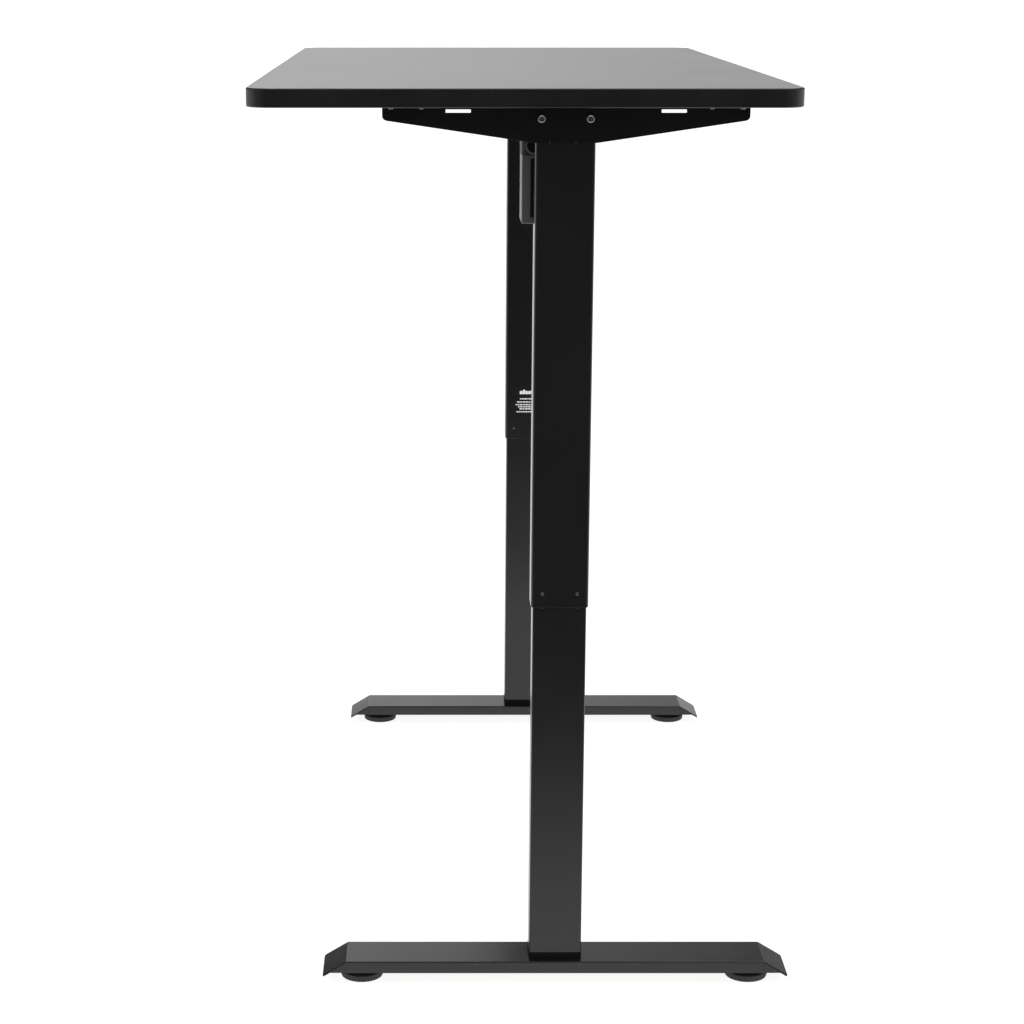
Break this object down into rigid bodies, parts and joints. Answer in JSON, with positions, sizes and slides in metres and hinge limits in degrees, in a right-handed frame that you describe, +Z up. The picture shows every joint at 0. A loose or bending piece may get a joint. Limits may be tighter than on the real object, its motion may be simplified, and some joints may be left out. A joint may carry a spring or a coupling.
{
  "type": "height adjustable standing desk",
  "caption": "Rectangular desk on two T-shaped legs that telescope up and down together, driven by a motor at one leg and a cross rod to the other.",
  "frame": {"origin": "on the floor, at the centre of the whole desk's length and depth", "axes": "+X along the desk towards the leg with the motor, +Y to the rear (the user sits at -Y), +Z up; the desk is stored fully raised"},
  "size_m": [1.4, 0.7326, 1.245],
  "materials": {
    "desktop": "black melamine board, fine satin texture",
    "frame": "black powder coat, semi gloss",
    "tube": "black coated steel tube, semi gloss",
    "casting": "black coated die casting, satin",
    "bright_steel": "plain steel",
    "bolt": "plated bolt head",
    "black_plastic": "moulded black plastic",
    "foot_plastic": "hard black plastic",
    "glide_plastic": "low friction moulding",
    "nut_plastic": "cream acetal",
    "key": "dark grey moulded key",
    "plate": null
  },
  "bodies": {
    "right_base": {"foot_beam_right": "frame", "inner_tube_right": "tube", "upper_glide_right": "glide_plastic", "lead_nut_right": "nut_plastic"},
    "left_base": {"foot_beam_left": "frame", "inner_tube_left": "tube", "upper_glide_left": "glide_plastic", "lead_nut_left": "nut_plastic"},
    "top": {"desktop": "desktop", "centre_rail_front": "frame", "centre_rail_rear": "frame", "control_shell": "black_plastic", "control_lid": "frame", "handset_shell": "black_plastic", "handset_face": "black_plastic", "rating_plate_left": "plate", "worm_case_right": "casting", "motor_can_right": "bright_steel", "motor_cover_right": "black_plastic", "side_bracket_right": "frame", "bracket_bolt_front_right": "bolt", "bracket_bolt_rear_right": "bolt", "leg_head_right": "frame", "gear_case_right": "casting", "outer_tube_right": "tube", "lower_glide_right": "glide_plastic", "screw_bearing_right": "bright_steel", "end_rail_front_right": "frame", "end_rail_rear_right": "frame", "side_bracket_left": "frame", "bracket_bolt_front_left": "bolt", "bracket_bolt_rear_left": "bolt", "leg_head_left": "frame", "gear_case_left": "casting", "outer_tube_left": "tube", "lower_glide_left": "glide_plastic", "screw_bearing_left": "bright_steel", "end_rail_front_left": "frame", "end_rail_rear_left": "frame"},
    "right_screw": {"lead_screw_right": "bright_steel", "screw_gear_right": "bright_steel"},
    "left_screw": {"lead_screw_left": "bright_steel", "screw_gear_left": "bright_steel"},
    "cross_drive": {"drive_rod": "bright_steel", "rod_gear_right": "bright_steel", "rod_gear_left": "bright_steel"},
    "right_front_level": {"level_stud_front_right": "bright_steel", "level_pad_front_right": "foot_plastic"},
    "right_rear_level": {"level_stud_rear_right": "bright_steel", "level_pad_rear_right": "foot_plastic"},
    "left_front_level": {"level_stud_front_left": "bright_steel", "level_pad_front_left": "foot_plastic"},
    "left_rear_level": {"level_stud_rear_left": "bright_steel", "level_pad_rear_left": "foot_plastic"},
    "up_key": {"button_up": "key"},
    "down_key": {"button_down": "key"},
    "memory_1_key": {"button_memory_1": "key"},
    "memory_2_key": {"button_memory_2": "key"},
    "memory_3_key": {"button_memory_3": "key"}
  },
  "joints": [
    {"name": "lift", "type": "slide", "parent": "right_base", "child": "top", "axis": [0, 0, 1], "range_m": [-0.5, 0]},
    {"name": "left_leg_extend", "type": "slide", "parent": "top", "child": "left_base", "axis": [0, 0, 1], "range_m": [0, 0.5]},
    {"name": "right_screw_turn", "type": "hinge", "parent": "top", "child": "right_screw", "pos_m": [0.569, 0.03975, 1.1], "axis": [0, 0, 1], "range_deg": [-18001, 18001]},
    {"name": "left_screw_turn", "type": "hinge", "parent": "top", "child": "left_screw", "pos_m": [-0.569, 0.03975, 1.1], "axis": [0, 0, 1], "range_deg": [-18001, 18001]},
    {"name": "cross_drive_turn", "type": "hinge", "parent": "top", "child": "cross_drive", "pos_m": [0, 0.03975, 1.197], "axis": [1, 0, 0], "range_deg": [-18001, 18001]},
    {"name": "right_front_level_screw", "type": "slide", "parent": "right_base", "child": "right_front_level", "axis": [0, 0, 1], "range_m": [-0.01, 0]},
    {"name": "right_rear_level_screw", "type": "slide", "parent": "right_base", "child": "right_rear_level", "axis": [0, 0, 1], "range_m": [-0.01, 0]},
    {"name": "left_front_level_screw", "type": "slide", "parent": "left_base", "child": "left_front_level", "axis": [0, 0, 1], "range_m": [-0.01, 0]},
    {"name": "left_rear_level_screw", "type": "slide", "parent": "left_base", "child": "left_rear_level", "axis": [0, 0, 1], "range_m": [-0.01, 0]},
    {"name": "up_press", "type": "slide", "parent": "top", "child": "up_key", "axis": [0, 1, 0], "range_m": [0, 0.001], "stiffness_N_per_m": 800, "springref_m": -0.0005},
    {"name": "down_press", "type": "slide", "parent": "top", "child": "down_key", "axis": [0, 1, 0], "range_m": [0, 0.001], "stiffness_N_per_m": 800, "springref_m": -0.0005},
    {"name": "memory_1_press", "type": "slide", "parent": "top", "child": "memory_1_key", "axis": [0, 1, 0], "range_m": [0, 0.001], "stiffness_N_per_m": 800, "springref_m": -0.0005},
    {"name": "memory_2_press", "type": "slide", "parent": "top", "child": "memory_2_key", "axis": [0, 1, 0], "range_m": [0, 0.001], "stiffness_N_per_m": 800, "springref_m": -0.0005},
    {"name": "memory_3_press", "type": "slide", "parent": "top", "child": "memory_3_key", "axis": [0, 1, 0], "range_m": [0, 0.001], "stiffness_N_per_m": 800, "springref_m": -0.0005}
  ],
  "couplings": [
    {"joint": "left_leg_extend", "follows": "lift", "ratio": -1},
    {"joint": "cross_drive_turn", "follows": "lift", "rad_per_m": 628.32},
    {"joint": "right_screw_turn", "follows": "lift", "rad_per_m": -628.32},
    {"joint": "left_screw_turn", "follows": "lift", "rad_per_m": 628.32}
  ]
}
